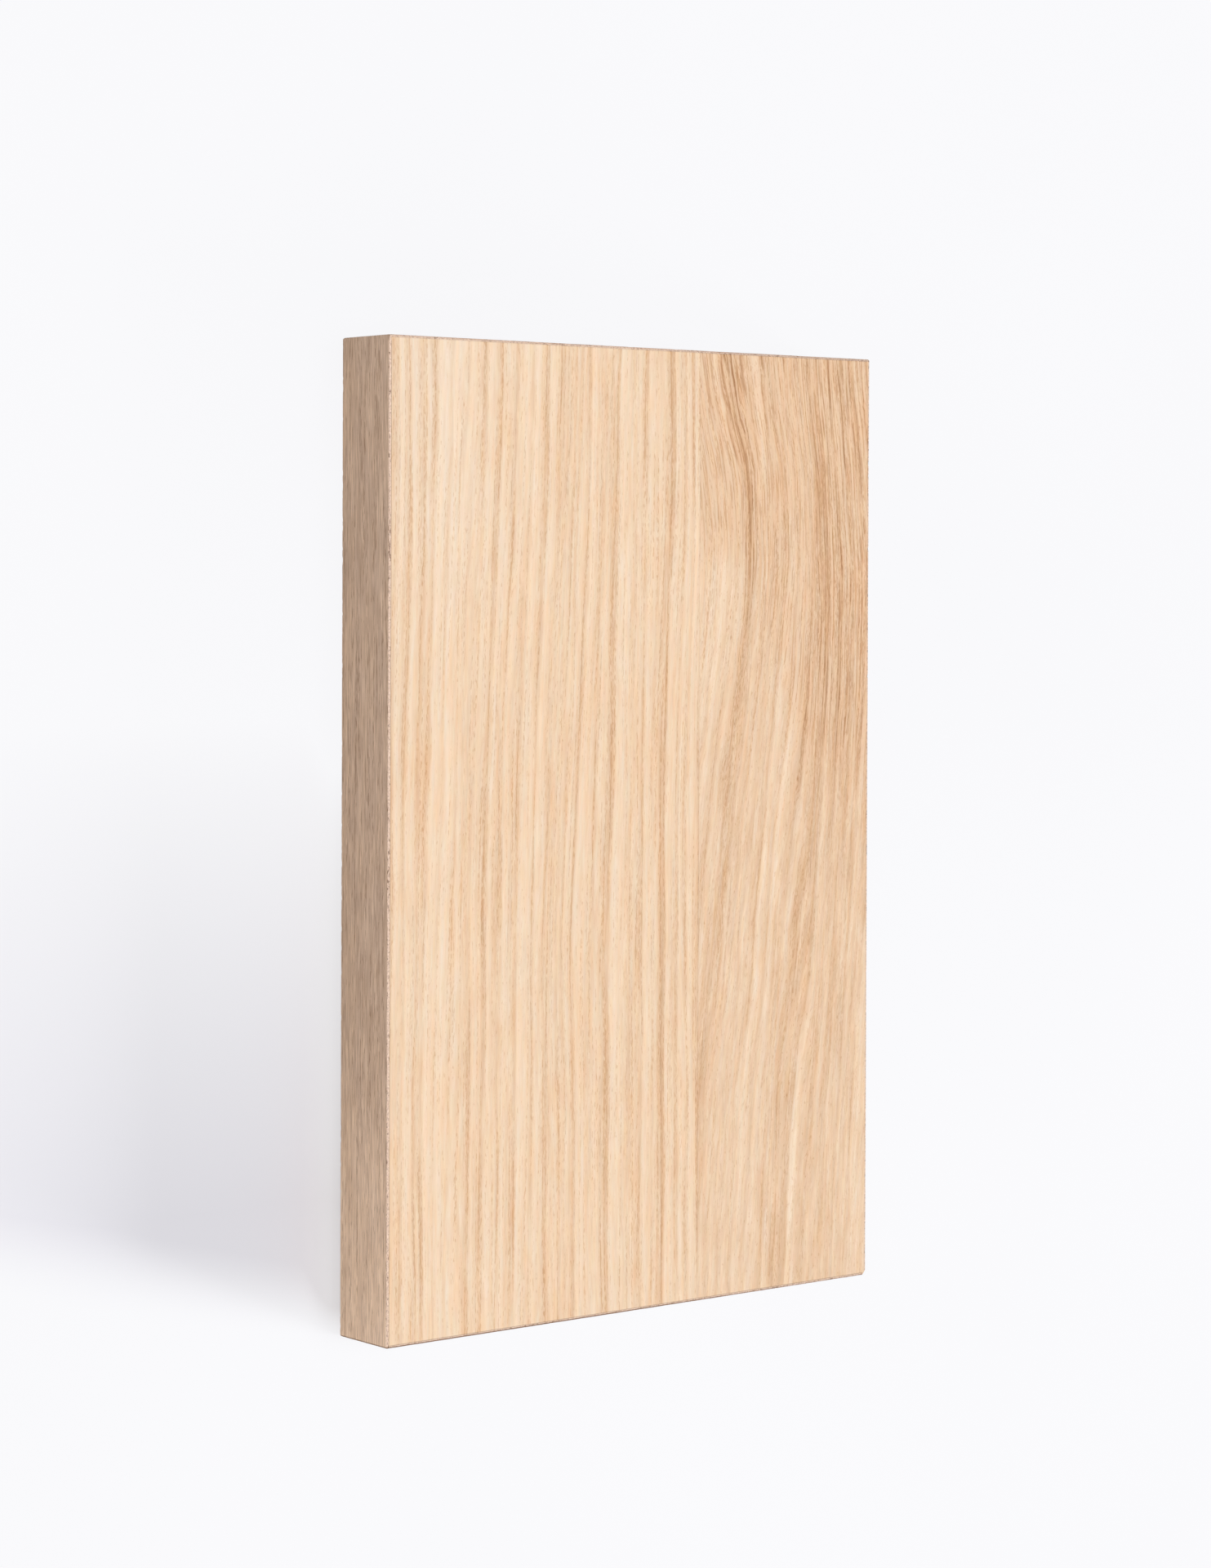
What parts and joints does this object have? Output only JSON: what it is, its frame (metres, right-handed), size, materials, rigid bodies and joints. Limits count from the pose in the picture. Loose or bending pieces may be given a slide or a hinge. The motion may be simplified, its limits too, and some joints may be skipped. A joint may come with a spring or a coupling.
{
  "type": "oak veneered panel",
  "caption": "Flat rectangular board faced with two leaves of pale oak veneer, oak veneer on its back and oak bands on its edges.",
  "frame": {"origin": "centre of the back face, which the panel lies on", "axes": "+Z out of the face with the two leaves, +Y along the grain, +X across the grain towards the narrower leaf"},
  "size_m": [0.161, 0.25, 0.0202],
  "materials": {
    "core_fibreboard": "raw, unfinished fibreboard",
    "back_oak": "raw sanded oak veneer",
    "face_oak_pale": "raw sanded oak veneer, matt",
    "face_oak_warm": "raw sanded oak veneer, matt",
    "band_oak": "raw sanded oak veneer, matt"
  },
  "bodies": {
    "root": {"core_board": "core_fibreboard", "back_veneer": "back_oak", "face_veneer_left": "face_oak_pale", "face_veneer_right": "face_oak_warm", "edge_band_left": "band_oak", "edge_band_right": "band_oak", "edge_band_top": "band_oak", "edge_band_bottom": "band_oak"}
  },
  "joints": []
}
